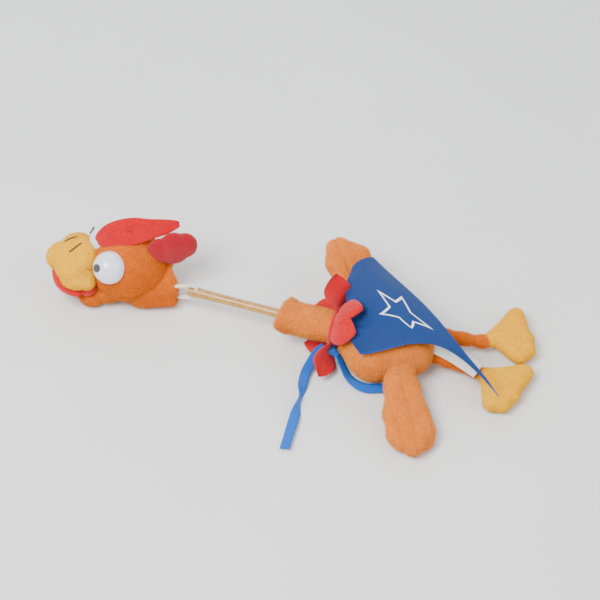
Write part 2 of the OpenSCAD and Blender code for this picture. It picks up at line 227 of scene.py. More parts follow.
def plush_cloth(name, colour, patch, sheen=0.35):
    """Backing cloth under a pile: tufts in clumps, darker between them."""
    s = Shader(name, 0.92, Sheen_Weight=sheen, Sheen_Roughness=0.5, Specular_IOR_Level=0.2)
    s.main.inputs["Sheen Tint"].default_value = (*[min(1, c * 1.3 + 0.08) for c in colour], 1)
    tuft = s.noise(950, 4, 0.65)
    clump = s.noise(170, 3, 0.6)
    base = s.ramp(tuft, (0.3, darker(colour, 0.45)), (0.55, colour), (0.8, tuple(min(1, c * 1.15) for c in colour)))
    s.colour(s.mix(s.ramp(clump, (0.4, (0, 0, 0)), (0.7, (1, 1, 1))), base, patch))
    s.bump(s.sum(tuft, clump, 0.8), 0.0007)
    return s.material


def pile_fibre(name, colour, tip, sheen=0.1):
    """The hairs themselves: each clump a little lighter or darker."""
    s = Shader(name, 0.75, Sheen_Weight=sheen, Sheen_Roughness=0.4, Specular_IOR_Level=0.25)
    s.main.inputs["Sheen Tint"].default_value = (*[min(1, c * 1.3 + 0.08) for c in colour], 1)
    fine = s.noise(1500, 2, 0.6)
    clump = s.noise(130, 3, 0.6)
    base = s.ramp(fine, (0.32, darker(colour, 0.62)), (0.5, colour), (0.72, tip))
    s.colour(s.mix(s.ramp(clump, (0.42, (0, 0, 0)), (0.75, (0.55, 0.55, 0.55))), base, tip))
    return s.material


def felt(name, colour):
    s = Shader(name, 0.95, Sheen_Weight=0.45, Sheen_Roughness=0.55, Specular_IOR_Level=0.15)
    s.main.inputs["Sheen Tint"].default_value = (1, 0.35, 0.35, 1)
    fibre = s.noise(1400, 5, 0.75, (1, 0.35, 1))
    lump = s.noise(140, 3, 0.6)
    base = s.ramp(fibre, (0.3, darker(colour, 0.55)), (0.55, colour), (0.85, tuple(min(1, c * 1.2 + 0.03) for c in colour)))
    s.colour(s.mix(s.ramp(lump, (0.35, (0, 0, 0)), (0.8, (0.5, 0.5, 0.5))), base, darker(colour, 0.78)))
    s.bump(s.sum(fibre, lump, 0.7), 0.0005)
    return s.material


def woven(name, colour, pitch, rough, sheen, shade=0.8):
    """Smooth woven cloth: fine warp and weft, with slow changes in its shine."""
    s = Shader(name, rough, Sheen_Weight=sheen, Sheen_Roughness=0.35, Specular_IOR_Level=0.4)
    s.main.inputs["Sheen Tint"].default_value = (*[min(1, c * 1.5 + 0.1) for c in colour], 1)
    warp = s.wave(0.5 / pitch, "X")
    weft = s.wave(0.5 / pitch, "Y")
    cloth = s.sum(warp, weft, 1.0)
    slow = s.noise(45, 3, 0.55)
    base = s.ramp(cloth, (0.2, darker(colour, shade)), (1.0, colour))
    s.colour(s.mix(s.ramp(slow, (0.4, (0, 0, 0)), (0.7, (0.4, 0.4, 0.4))), base, darker(colour, 0.72)))
    s.roughness(slow, rough - 0.08, rough + 0.12)
    s.bump(cloth, 0.00012, 0.6)
    return s.material


def latex():
    s = Shader("amber_latex", 0.32, Transmission_Weight=0.35, IOR=1.5, Subsurface_Weight=0.4,
               Subsurface_Scale=0.004, Coat_Weight=0.3, Coat_Roughness=0.25)
    s.main.inputs["Subsurface Radius"].default_value = (1, 0.6, 0.25)
    dust = s.noise(260, 4, 0.6)
    s.colour(s.ramp(dust, (0.35, (0.50, 0.25, 0.035)), (0.6, (0.64, 0.36, 0.07)), (0.85, (0.76, 0.48, 0.14))))
    s.roughness(dust, 0.22, 0.42)
    s.bump(dust, 0.00015, 0.5)
    return s.material


def cotton():
    s = Shader("white_cotton", 0.85, Sheen_Weight=0.3, Specular_IOR_Level=0.2)
    fibre = s.noise(2600, 3, 0.7)
    s.colour(s.ramp(fibre, (0.3, (0.55, 0.46, 0.36)), (0.55, (0.86, 0.77, 0.64)), (0.8, (0.95, 0.9, 0.82))))
    s.bump(fibre, 0.0002)
    return s.material


def moulded(name, colour, rough, coat=0.0, dust=0.05):
    s = Shader(name, rough, Coat_Weight=coat, Coat_Roughness=0.06)
    mark = s.noise(420, 4, 0.7)
    s.colour(s.ramp(mark, (0.35, darker(colour, 1 - dust)), (0.7, colour)))
    s.roughness(mark, max(0.03, rough - 0.03), rough + 0.06)
    return s.material


def thread(name, colour):
    s = Shader(name, 0.7, Sheen_Weight=0.2)
    ply = s.wave(900, "DIAGONAL", 1.0)
    s.colour(s.ramp(ply, (0.2, darker(colour, 0.6)), (0.8, colour)))
    s.bump(ply, 0.0001)
    return s.material


ORANGE = (0.84, 0.18, 0.002)
ORANGE_TIP = (0.98, 0.29, 0.01)
PALE = (0.92, 0.27, 0.03)
PALE_TIP = (1.0, 0.42, 0.08)
YELLOW = (1.0, 0.50, 0.0)
YELLOW_TIP = (1.0, 0.62, 0.01)
RED = (0.60, 0.0, 0.006)
# the red felt darkened as painted shade, for the comb's rear lobe that lies in the leaf's shadow
SHADED_COMB_RED = (0.40, 0.0, 0.012)
CAPE_BLUE = (0.0, 0.13, 0.66)
RIBBON_BLUE = (0.0, 0.13, 0.6)

FINISH = {
    "orange_cloth": plush_cloth("orange_backing", darker(ORANGE, 0.8), darker(ORANGE, 0.6)),
    "orange_pile": pile_fibre("orange_pile", ORANGE, ORANGE_TIP),
    "pale_cloth": plush_cloth("pale_backing", darker(PALE, 0.85), darker(PALE, 0.65)),
    "pale_pile": pile_fibre("pale_pile", PALE, PALE_TIP),
    "yellow_cloth": plush_cloth("yellow_backing", YELLOW, darker(YELLOW, 0.8), 0.5),
    "yellow_pile": pile_fibre("yellow_pile", YELLOW, YELLOW_TIP, 0.12),
    "red_felt": felt("red_felt", RED),
    # red felt with painted shade, for the comb's rear lobe
    "dark_felt": felt("dark_red_felt", SHADED_COMB_RED),
    "cape_cloth": woven("blue_cape_cloth", CAPE_BLUE, 0.00035, 0.5, 0.25),
    # cape underside: the cape's own blue darkened as painted shade on the side that faces away from the light
    "cape_lining": woven("navy_cape_lining", darker(CAPE_BLUE, 0.28), 0.00035, 0.6, 0.15),
    "ribbon": woven("blue_ribbon", RIBBON_BLUE, 0.0003, 0.38, 0.35),
    "navy_band": woven("navy_band", (0.004, 0.012, 0.07), 0.0004, 0.6, 0.2),
    "white_print": moulded("white_print", (0.86, 0.88, 0.93), 0.55, 0.0, 0.12),
    "latex": latex(),
    "cotton": cotton(),
    "eye_white": moulded("eye_white", (0.74, 0.77, 0.86), 0.12, 0.8, 0.03),
    "eye_black": moulded("eye_black", (0.006, 0.006, 0.007), 0.1, 0.8, 0.3),
    "white_plastic": moulded("white_plastic", (0.8, 0.8, 0.78), 0.4, 0.1),
    "label": woven("label_satin", (0.84, 0.82, 0.78), 0.0003, 0.45, 0.3, 0.9),
    "dark_thread": thread("dark_thread", (0.05, 0.012, 0.012)),
    "red_thread": thread("red_thread", (0.25, 0.0, 0.01)),
    "fibre": felt("fibre_fill", (0.85, 0.84, 0.8)),
    "board": moulded("green_board", (0.02, 0.2, 0.06), 0.35, 0.3),
    "dark_metal": moulded("dark_metal", (0.08, 0.08, 0.09), 0.45),
    "bright_metal": moulded("bright_metal", (0.6, 0.61, 0.63), 0.3),
}


# ---------------------------------------------------------------- making meshes

def new_piece(name, verts, faces, finish, smooth=True):
    mesh = bpy.data.meshes.new(name)
    mesh.from_pydata([tuple(v) for v in verts], [], faces)
    bm = bmesh.new()
    bm.from_mesh(mesh)
    bmesh.ops.recalc_face_normals(bm, faces=bm.faces)
    bm.to_mesh(mesh)
    bm.free()
    mesh.shade_smooth() if smooth else mesh.shade_flat()
    mesh.materials.append(FINISH[finish])
    piece = bpy.data.objects.new(name, mesh)
    bpy.context.collection.objects.link(piece)
    return piece


def settle(piece):
    """Turn a piece's modifiers into plain mesh."""
    bpy.context.view_layer.update()
    shown = piece.evaluated_get(bpy.context.evaluated_depsgraph_get())
    mesh = bpy.data.meshes.new_from_object(shown)
    piece.modifiers.clear()
    old = piece.data
    piece.data = mesh
    mesh.name = piece.name
    bpy.data.meshes.remove(old)
    mesh.shade_smooth()
    return piece


def stuffed_form(name, balls, finish, voxel=1.0, passes=8, lumps=0.35, over=()):
    """One soft form from balls (centre, three half sizes, turns in degrees), melted together over its stuffing."""
    bm = bmesh.new()
    for node in over:
        inner = bpy.data.objects[node]
        room = inner.data.copy()
        room.transform(inner.matrix_world)
        fill = bmesh.new()
        fill.from_mesh(room)
        bmesh.ops.remove_doubles(fill, verts=fill.verts, dist=0.00001)
        fill.normal_update()
        for v in fill.verts:
            v.co += v.normal * 1.5 * MM
        fill.to_mesh(room)
        fill.free()
        bm.from_mesh(room)
        bpy.data.meshes.remove(room)
    for place, half, turns in balls:
        spin = Euler([math.radians(t) for t in turns]).to_matrix().to_4x4()
        way = Matrix.Translation(Vector(place)) @ spin @ Matrix.Diagonal((*[h * MM for h in half], 1))
        bmesh.ops.create_icosphere(bm, subdivisions=4, radius=1, matrix=way)
    mesh = bpy.data.meshes.new(name)
    bm.to_mesh(mesh)
    bm.free()
    mesh.materials.append(FINISH[finish])
    piece = bpy.data.objects.new(name, mesh)
    bpy.context.collection.objects.link(piece)
    melt = piece.modifiers.new("melt", "REMESH")
    melt.mode = "VOXEL"
    melt.voxel_size = voxel * MM
    calm = piece.modifiers.new("calm", "SMOOTH")
    calm.factor = 0.5
    calm.iterations = passes
    settle(piece)
    for v in piece.data.vertices:
        lump = noise.noise(v.co * 95) * 0.65 + noise.noise(v.co * 240) * 0.35
        v.co += v.normal * lump * lumps * MM
        v.co.z = max(v.co.z, 0.4 * MM)
    return piece


def pinch(piece, place, way, width, depth):
    """Press a sewn seam into a stuffed form: the line through place, square to way."""
    way = Vector(way).normalized()
    for v in piece.data.vertices:
        off = (v.co - Vector(place)).dot(way) / (width * MM)
        v.co -= v.normal * depth * MM * math.exp(-off * off)


def curve_points(points, steps):
    """A smooth curve through places, steps points to each stretch."""
    found = []
    last = len(points) - 1
    for i in range(last):
        a, b, c, d = (points[max(0, min(last, i + k))] for k in (-1, 0, 1, 2))
        for k in range(steps):
            t = k / steps
            found.append(b + 0.5 * t * (c - a + t * (2 * a - 5 * b + 4 * c - d + t * (3 * (b - c) + d - a))))
    return found + [points[last]]


def line_length(points):
    return sum((b - a).length for a, b in zip(points, points[1:]))


def swept(points, outline, closed=False, up=UP):
    """Vertices and faces of an outline carried along points. outline(i, t) gives (side, rise) pairs."""
    verts, faces = [], []
    count = len(points)
    sides = 0
    side = None
    for i, p in enumerate(points):
        ahead = points[(i + 1) % count] if closed else points[min(i + 1, count - 1)]
        behind = points[(i - 1) % count] if closed else points[max(i - 1, 0)]
        way = (ahead - behind).normalized()
        if side is None:
            side = way.cross(up).normalized()
        side = (side - way * side.dot(way)).normalized()
        rise = side.cross(way)
        ring = outline(i, i / max(1, count - 1))
        sides = len(ring)
        verts += [p + side * a + rise * b for a, b in ring]
    for i in range(count if closed else count - 1):
        for k in range(sides):
            m = (k + 1) % sides
            j = (i + 1) % count
            faces.append((i * sides + k, i * sides + m, j * sides + m, j * sides + k))
    if not closed:
        faces.append(tuple(range(sides)))
        faces.append(tuple(range((count - 1) * sides, count * sides)))
    return verts, faces


def circle_outline(radius, sides=12, turn=0.0):
    return [(radius * math.cos(turn + math.tau * k / sides), radius * math.sin(turn + math.tau * k / sides))
            for k in range(sides)]


def sheet_piece(name, surface, across, along, thick, finish, back=None):
    """A sheet of cloth with thickness from surface(u, v), both from 0 to 1."""
    grid = [[surface(i / across, j / along) for i in range(across + 1)] for j in range(along + 1)]

    def normal(i, j):
        du = grid[j][min(i + 1, across)] - grid[j][max(i - 1, 0)]
        dv = grid[min(j + 1, along)][i] - grid[max(j - 1, 0)][i]
        n = du.cross(dv)
        return n.normalized() if n.length > 1e-12 else UP

    wide = across + 1
    verts, faces = [], []
    for lift in (0.5, -0.5):
        for j in range(along + 1):
            verts += [grid[j][i] + normal(i, j) * thick * lift for i in range(wide)]
    low = wide * (along + 1)
    for j in range(along):
        for i in range(across):
            a, b, c, d = j * wide + i, j * wide + i + 1, (j + 1) * wide + i + 1, (j + 1) * wide + i
            faces += [(a, b, c, d), (low + d, low + c, low + b, low + a)]
    edge = [(i, 0) for i in range(across)] + [(across, j) for j in range(along)]
    edge += [(i, along) for i in range(across, 0, -1)] + [(0, j) for j in range(along, 0, -1)]
    rim = [j * wide + i for i, j in edge]
    for a, b in zip(rim, rim[1:] + rim[:1]):
        faces.append((b, a, low + a, low + b))
    piece = new_piece(name, verts, faces, finish)
    if back:
        piece.data.materials.append(FINISH[back])
        for face in piece.data.polygons:
            if max(face.vertices) >= low and min(face.vertices) >= low:
                face.material_index = 1
    return piece


# ---------------------------------------------------------------- geometry nodes for what repeats

def node_group(name, *sockets):
    tree = bpy.data.node_groups.new(name, "GeometryNodeTree")
    tree.interface.new_socket("Geometry", in_out="INPUT", socket_type="NodeSocketGeometry")
    for label, kind, value in sockets:
        made = tree.interface.new_socket(label, in_out="INPUT", socket_type=kind)
        if value is not None:
            made.default_value = value
    tree.interface.new_socket("Geometry", in_out="OUTPUT", socket_type="NodeSocketGeometry")
    start = tree.nodes.new("NodeGroupInput")
    end = tree.nodes.new("NodeGroupOutput")
    return tree, start, end


def pile_tree():
    """Short pointed hairs all over a cloth, leaning a little and each turned its own way."""
    tree, start, end = node_group(
        "Plush pile", ("Hairs per square metre", "NodeSocketFloat", 6e6), ("Hair length", "NodeSocketFloat", 0.0015),
        ("Hair radius", "NodeSocketFloat", 0.00011), ("Lean", "NodeSocketFloat", 0.5), ("Seed", "NodeSocketInt", 7),
        ("Finish", "NodeSocketMaterial", None))
    new, join = tree.nodes.new, tree.links.new
    scatter = new("GeometryNodeDistributePointsOnFaces")
    hair = new("GeometryNodeMeshCone")
    hair.fill_type = "NONE"
    hair.inputs["Vertices"].default_value = 3
    hair.inputs["Radius Top"].default_value = 0.0
    lean_low = new("ShaderNodeMath")
    lean_low.operation = "MULTIPLY"
    lean_low.inputs[1].default_value = -1.0
    spread = new("ShaderNodeCombineXYZ")
    spread_low = new("ShaderNodeCombineXYZ")
    spread.inputs["Z"].default_value = math.pi
    spread_low.inputs["Z"].default_value = -math.pi
    turn = new("FunctionNodeRandomValue")
    turn.data_type = "FLOAT_VECTOR"
    tilt = new("FunctionNodeRotateRotation")
    tilt.rotation_space = "LOCAL"
    to_turn = new("FunctionNodeEulerToRotation")
    size = new("FunctionNodeRandomValue")
    size.data_type = "FLOAT"
    size.inputs[2].default_value = 0.6
    size.inputs[3].default_value = 1.25
    place = new("GeometryNodeInstanceOnPoints")
    real = new("GeometryNodeRealizeInstances")
    finish = new("GeometryNodeSetMaterial")
    join(start.outputs["Geometry"], scatter.inputs["Mesh"])
    join(start.outputs["Hairs per square metre"], scatter.inputs["Density"])
    join(start.outputs["Seed"], scatter.inputs["Seed"])
    join(start.outputs["Hair length"], hair.inputs["Depth"])
    join(start.outputs["Hair radius"], hair.inputs["Radius Bottom"])
    join(start.outputs["Lean"], lean_low.inputs[0])
    for axis in ("X", "Y"):
        join(start.outputs["Lean"], spread.inputs[axis])
        join(lean_low.outputs[0], spread_low.inputs[axis])
    join(spread_low.outputs[0], turn.inputs[0])
    join(spread.outputs[0], turn.inputs[1])
    join(start.outputs["Seed"], turn.inputs["Seed"])
    join(start.outputs["Seed"], size.inputs["Seed"])
    join(turn.outputs[0], to_turn.inputs[0])
    join(scatter.outputs["Rotation"], tilt.inputs["Rotation"])
    join(to_turn.outputs[0], tilt.inputs["Rotate By"])
    join(scatter.outputs["Points"], place.inputs["Points"])
    join(hair.outputs["Mesh"], place.inputs["Instance"])
    join(tilt.outputs[0], place.inputs["Rotation"])
    join(size.outputs[1], place.inputs["Scale"])
    join(place.outputs[0], real.inputs[0])
    join(real.outputs[0], finish.inputs["Geometry"])
    join(start.outputs["Finish"], finish.inputs["Material"])
    join(finish.outputs[0], end.inputs[0])
    return tree


PILE = pile_tree()


def run_nodes(base, name, tree, **values):
    """A new piece made by a node tree from base's mesh."""
    piece = bpy.data.objects.new(name, base.data.copy())
    bpy.context.collection.objects.link(piece)
    made = piece.modifiers.new("make", "NODES")
    made.node_group = tree
    for item in tree.interface.items_tree:
        key = item.name.replace(" ", "_")
        if item.in_out == "INPUT" and key in values:
            made[item.identifier] = values[key]
    settle(piece)
    return piece


def grow_pile(base, finish, per_mm2=5.0, length=1.5, seed=7, radius=0.12, lean=0.55):
    """The pile of a plush piece, as a piece of its own that goes wherever the cloth goes."""
    thinner = 1.0
    return run_nodes(base, base.name + "_pile", PILE, Hairs_per_square_metre=per_mm2 * 1e6 * thinner,
                     Hair_length=length * MM, Hair_radius=radius * MM * 1.0, Lean=lean,
                     Seed=seed, Finish=FINISH[finish])


def stitch_tree():
    """Short thread stitches along a line, each sunk a little at both ends."""
    tree, start, end = node_group(
        "Stitches", ("Pitch", "NodeSocketFloat", 0.0022), ("Stitch length", "NodeSocketFloat", 0.0014),
        ("Thread radius", "NodeSocketFloat", 0.00018), ("Finish", "NodeSocketMaterial", None))
    new, join = tree.nodes.new, tree.links.new
    line = new("GeometryNodeMeshToCurve")
    points = new("GeometryNodeCurveToPoints")
    points.mode = "LENGTH"
    bead = new("GeometryNodeMeshIcoSphere")
    bead.inputs["Radius"].default_value = 1.0
    bead.inputs["Subdivisions"].default_value = 2
    half = new("ShaderNodeMath")
    half.operation = "MULTIPLY"
    half.inputs[1].default_value = 0.5
    shape = new("ShaderNodeCombineXYZ")
    place = new("GeometryNodeInstanceOnPoints")
    real = new("GeometryNodeRealizeInstances")
    finish = new("GeometryNodeSetMaterial")
    join(start.outputs["Geometry"], line.inputs["Mesh"])
    join(line.outputs[0], points.inputs["Curve"])
    join(start.outputs["Pitch"], points.inputs["Length"])
    join(start.outputs["Stitch length"], half.inputs[0])
    for axis in ("X", "Y"):
        join(start.outputs["Thread radius"], shape.inputs[axis])
    join(half.outputs[0], shape.inputs["Z"])
    join(points.outputs["Points"], place.inputs["Points"])
    join(points.outputs["Rotation"], place.inputs["Rotation"])
    join(bead.outputs[0], place.inputs["Instance"])
    join(shape.outputs[0], place.inputs["Scale"])
    join(place.outputs[0], real.inputs[0])
    join(real.outputs[0], finish.inputs["Geometry"])
    join(start.outputs["Finish"], finish.inputs["Material"])
    join(finish.outputs[0], end.inputs[0])
    return tree


STITCHES = stitch_tree()


def stitch_line(name, points, finish, pitch=2.2, length=1.4, radius=0.18):
    mesh = bpy.data.meshes.new(name + "_line")
    mesh.from_pydata([tuple(p) for p in points], [(i, i + 1) for i in range(len(points) - 1)], [])
    line = bpy.data.objects.new(name + "_line", mesh)
    piece = run_nodes(line, name, STITCHES, Pitch=pitch * MM, Stitch_length=length * MM,
                      Thread_radius=radius * MM, Finish=FINISH[finish])
    bpy.data.objects.remove(line)
    return piece


def at(x, y, z):
    return Vector((x, y, z)) * MM


# ---------------------------------------------------------------- ribbons (cords) and their routes

TIE_FRONT = [(-34.5, 10, 9), (-39, 8.5, 7.2), (-43.5, 4, 5), (-48.6, -3, 3.2), (-52, -12, 3), (-55, -21, 3),
             (-59.5, -31, 3), (-64.5, -42, 2.6), (-69.5, -53, 2.2)]
TIE_SIDE = [(-28, 3.5, 10), (-26, -5, 6), (-24, -11, 4), (-20, -16, 3), (-15, -19, 2.4), (-9, -20, 2.2),
            (-3, -21, 2.2), (3, -23, 2.2), (10, -27, 2.2)]
RIBBON = 6.0


def ribbon(name, route, twist):
    """A flat satin ribbon along its route; twist(t) turns its flat side, in degrees."""
    points = curve_points([at(*p) for p in route], 6)

    def outline(i, t):
        turn = math.radians(twist(t))
        half, thick = RIBBON / 2 * MM, 0.16 * MM
        flat = [(-half, -thick), (-half * 0.5, -thick * 0.6), (0, -thick), (half * 0.5, -thick * 0.6), (half, -thick),
                (half, thick), (half * 0.5, thick * 1.4), (0, thick), (-half * 0.5, thick * 1.4), (-half, thick)]
        return [(a * math.cos(turn) - b * math.sin(turn), a * math.sin(turn) + b * math.cos(turn)) for a, b in flat]

    verts, faces = swept(points, outline)
    verts = [Vector((v.x, v.y, max(v.z, 0.25 * MM))) for v in verts]
    piece = new_piece(name, verts, faces, "ribbon")
    return piece, points


def bump_at(t, middle_t, width):
    return math.exp(-((t - middle_t) / width) ** 2)


def make_ties():
    front, front_line = ribbon("tie_front_ribbon", TIE_FRONT, lambda t: 35 * (1 - t) + 80 * bump_at(t, 0.62, 0.12))
    side, side_line = ribbon("tie_side_ribbon", TIE_SIDE, lambda t: 40 * (1 - t) - 25 * bump_at(t, 0.5, 0.2))
    for piece, line, node in ((front, front_line, "tie_front"), (side, side_line, "tie_side")):
        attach(piece, "torso")
        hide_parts(node)
        tuple(line[0])
        line_length(line)
        [tuple(p) for p in line]


# ---------------------------------------------------------------- neck: sleeve, tube, cord and bead

SLEEVE_R = 9.3
SLEEVE_L = 32
TUBE_END = 92
LIFT = 28


def along(h, side=0.0, rise=0.0):
    """A place in the neck's own frame: h from the collar to the head, side to the near side."""
    return SLEEVE_FOOT + (NECK_WAY * h + NECK_SIDE * side + UP * rise) * MM


def make_sleeve():
    """Plush sleeve, open at the front with a folded, slightly crumpled mouth."""
    rings = []
    outside = [(-7, 8.2), (-4, 8.8), (0, 9.0), (5, 8.9), (11, 9.2), (17, 9.5), (23, 9.1), (28, 9.7), (31, 10.6), (32.6, 10.6)]
    inside = [(33.4, 9.9), (33.2, 8.9), (31.5, 8.2), (26, 7.2), (18, 5.8), (8, 5.0)]
    sides = 64
    for k, (h, r) in enumerate(outside + inside):
        front = max(0.0, (h - 20) / 12)
        ring = []
        for s in range(sides):
            a = math.tau * s / sides
            fold = 0.35 * math.sin(3 * a + h * 0.16) + 0.75 * front * math.sin(2 * a + 0.9) + 0.5 * front * math.sin(5 * a)
            lip = 1.5 * front * math.sin(a * 2 + 0.4) + 0.9 * front * math.sin(3 * a + 2)
            rr = r + fold * (1 if k < len(outside) else 0.6)
            ring.append(along(h + lip, rr * math.cos(a), rr * math.sin(a) * 0.97))
        rings.append(ring)
    verts = [p for ring in rings for p in ring]
    faces = [(i * sides + s, i * sides + (s + 1) % sides, (i + 1) * sides + (s + 1) % sides, (i + 1) * sides + s)
             for i in range(len(rings) - 1) for s in range(sides)]
    faces += [tuple(range(sides)), tuple(range((len(rings) - 1) * sides, len(rings) * sides))]
    sleeve = new_piece("neck_sleeve_plush", verts, faces, "pale_cloth")
    smooth = sleeve.modifiers.new("smooth", "SUBSURF")
    smooth.levels = 1
    settle(sleeve)
    pile = grow_pile(sleeve, "pale_pile", 6.5, 1.5, seed=3)
    hem = stitch_line("neck_sleeve_hem", [along(27.5, 9.6 * math.cos(a), 9.4 * math.sin(a))
                                          for a in [math.tau * k / 40 for k in range(41)]], "red_thread", 3.0, 1.7, 0.14)
    for piece in (sleeve, pile, hem):
        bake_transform(piece)
    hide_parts("neck_sleeve")


def make_tube():
    """Latex tube: open at the head end, with the cord's hole through it, a little thinner where it is drawn."""
    sides, rows = 28, 46
    outer, inner = 3.0, 1.6
    start, end = LIFT - 6, TUBE_END
    rings = []

    def tube_ring(h, r):
        return [along(h, r * math.cos(math.tau * s / sides), r * math.sin(math.tau * s / sides)) for s in range(sides)]

    for k in range(rows + 1):
        t = k / rows
        h = start + (end - start) * t
        swell = 1 - 0.07 * math.sin(math.pi * min(1, max(0, (h - 34) / 50))) + 0.012 * math.sin(h * 1.7)
        hole = 0.10 * math.exp(-((h - (TUBE_END - 4.5)) / 2.2) ** 2)
        rings.append(tube_ring(h, outer * (swell + hole)))
    rings.append(tube_ring(end + 0.35, outer * 0.93))
    rings.append(tube_ring(end + 0.3, inner * 1.15))
    for h in (end - 1, end - 5, end - 12):
        rings.append(tube_ring(h, inner))
    verts = [p for ring in rings for p in ring]
    faces = [(i * sides + s, i * sides + (s + 1) % sides, (i + 1) * sides + (s + 1) % sides, (i + 1) * sides + s)
             for i in range(len(rings) - 1) for s in range(sides)]
    faces += [tuple(range(sides)), tuple(range((len(rings) - 1) * sides, len(rings) * sides))]
    tube = new_piece("neck_tube_latex", verts, faces, "latex")
    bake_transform(tube)
    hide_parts("neck_tube")


def cord_route():
    """The cord's closed loop, round the tube's end and the bead, as in the solid design."""
    hole = along(TUBE_END - 4.5)
    bead = middle("head_bead")
    way = Vector((bead.x - hole.x, bead.y - hole.y, 0)).normalized()
    rise, small, turn = 5.8 * MM, 3.8 * MM, 2.0 * MM

    def corner(c, u, lift):
        found = []
        for k in range(7):
            a = math.pi / 2 * k / 6
            found.append(c + u * (turn * math.sin(a) - turn) + UP * lift * (turn * math.cos(a) - turn))
        return found

    loop = corner(hole + UP * rise, -way, 1) + corner(hole - UP * rise, -way, -1)[::-1]
    loop += corner(bead - UP * small, way, -1) + corner(bead + UP * small, way, 1)[::-1]
    even, step = [], 0.35 * MM
    ring = loop + loop[:1]
    for a, b in zip(ring, ring[1:]):
        n = max(1, round((b - a).length / step))
        even += [a.lerp(b, k / n) for k in range(n)]
    return even, way.cross(UP)


def make_cord():
    """Cotton cord laid up from three twisted yarns, closed in a loop."""
    route, face = cord_route()
    yarns, turns = 3, 26
    verts, faces = [], []
    count = len(route)
    for y in range(yarns):
        line = []
        for i in range(count):
            way = (route[(i + 1) % count] - route[i - 1]).normalized()
            side = way.cross(face).normalized()
            a = math.tau * (turns * i / count + y / yarns)
            line.append(route[i] + (side * math.cos(a) + face * math.sin(a)) * 0.62 * MM)
        v, f = swept(line, lambda i, t: circle_outline(0.74 * MM, 8), closed=True, up=face)
        faces += [tuple(k + len(verts) for k in q) for q in f]
        verts += v
    cord = new_piece("neck_cord_twisted", verts, faces, "cotton")
    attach(cord, "cord")
    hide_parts("neck_cord")


# ---------------------------------------------------------------- torso, wings, legs and feet

def plush_part(name, balls, cloth, pile, node, body, voxel=1.0, passes=8, lumps=0.35, per_mm2=5.5,
               length=1.4, seed=7, joins=None, pinches=(), over=()):
    """A stuffed plush piece with its pile; joins = (other body, start, end) where it is sewn on."""
    form = stuffed_form(name, balls, cloth, voxel, passes, lumps, over)
    for p in pinches:
        pinch(form, *p)
    hairs = grow_pile(form, pile, per_mm2, length, seed)
    for piece in (form, hairs):
        if joins:
            tuple(joins[1])
            tuple(joins[2])
            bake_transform(piece)
        else:
            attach(piece, body)
    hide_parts(*node)
    return form


def make_torso():
    balls = [(at(0, 0, 15.2), (25, 19.5, 14.8), (0, 0, 0)), (at(-11, 5, 16), (15, 14.5, 13.2), (0, 0, -20)),
             (at(14, -1, 14.6), (13.5, 16.5, 13.8), (0, 0, 0)), (at(-20, 11.2, 18.2), (9, 10, 9.6), (0, 0, -28)),
             (at(24, 1, 13), (5.5, 10, 8.5), (0, 0, 0))]
    plush_part("torso_plush", balls, "pale_cloth", "pale_pile", ["torso_skin"], "torso",
               lumps=0.5, seed=11, pinches=[(at(9, 0, 15), (0, 1, 0.05), 1.1, 0.55)], over=["torso_stuffing"])


def make_wings():
    near_root, far_root = at(3, -22, 14), at(-3, 25, 16.5)
    near = [(at(4.5, -18, 14.5), (9.5, 7, 6.2), (0, 0, 0)), (at(3, -31, 11.4), (11, 13, 5.4), (9, 0, 0)),
            (at(2, -46, 8.6), (13.2, 14, 5.3), (8, 0, 4)), (at(4, -56, 7), (12.2, 12.5, 5.2), (6, 0, 0)),
            (at(-1.5, -61.5, 5.9), (7.5, 7.5, 4.6), (0, 0, 0)), (at(8, -62.5, 5.8), (7, 7, 4.4), (0, 0, 0))]
    plush_part("wing_near_plush", near, "pale_cloth", "pale_pile", ["wing_near"], "wing_near",
               seed=21, joins=("torso", near_root + at(0, 3, 0), near_root - at(0, 9, 0)), over=["wing_near_stuffing"],
               pinches=[(at(-5.5, -50, 8), (1, 0.08, 0), 1.0, 0.8), (at(3.5, -62, 6), (1, 0, 0), 1.3, 0.7)])
    far = [(at(-4, 20, 16.5), (8.5, 6, 6), (0, 0, 0)), (at(-6, 33, 19), (10, 12, 5), (15, 0, 10)),
           (at(-10, 47, 23), (11.5, 13, 5), (15, 0, 12)), (at(-13.5, 60, 26.6), (11, 12, 5), (15, 0, 13)),
           (at(-15.5, 68, 28.6), (7.5, 7, 4.6), (15, 0, 13))]
    plush_part("wing_far_plush", far, "pale_cloth", "pale_pile", ["wing_far"], "wing_far",
               seed=22, joins=("torso", far_root - at(0, 4, 0), far_root + at(0, 8, 2)), over=["wing_far_stuffing"],
               pinches=[(at(-12, 50, 24), (1, 0.22, 0), 1.2, 1.1)])


def make_legs():
    near_hip, near_ankle = at(29, -9, 11), at(49, -21, 7)
    far_hip, far_ankle = at(29, 7, 11), at(58, -1, 8)
    for name, hip, ankle, seed in (("leg_near", near_hip, near_ankle, 31), ("leg_far", far_hip, far_ankle, 32)):
        run = ankle - hip
        turn = math.degrees(math.atan2(run.y, run.x))
        tip = math.degrees(math.atan2(-run.z, Vector((run.x, run.y)).length))
        reach = run.length / MM
        balls = [(hip - run * 0.14, (7, 5.2, 5.2), (0, 0, turn)), (hip + run * 0.25, (9, 4.4, 4.4), (0, tip, turn)),
                 (hip + run * 0.6, (reach * 0.33, 3.9, 3.7), (0, tip, turn)), (ankle, (5.5, 3.9, 3.7), (0, 0, turn))]
        plush_part(name + "_plush", balls, "orange_cloth", "orange_pile", [name], name, voxel=0.8,
                   lumps=0.25, seed=seed, joins=("torso", hip - run.normalized() * 5 * MM, hip + run.normalized() * 6 * MM))


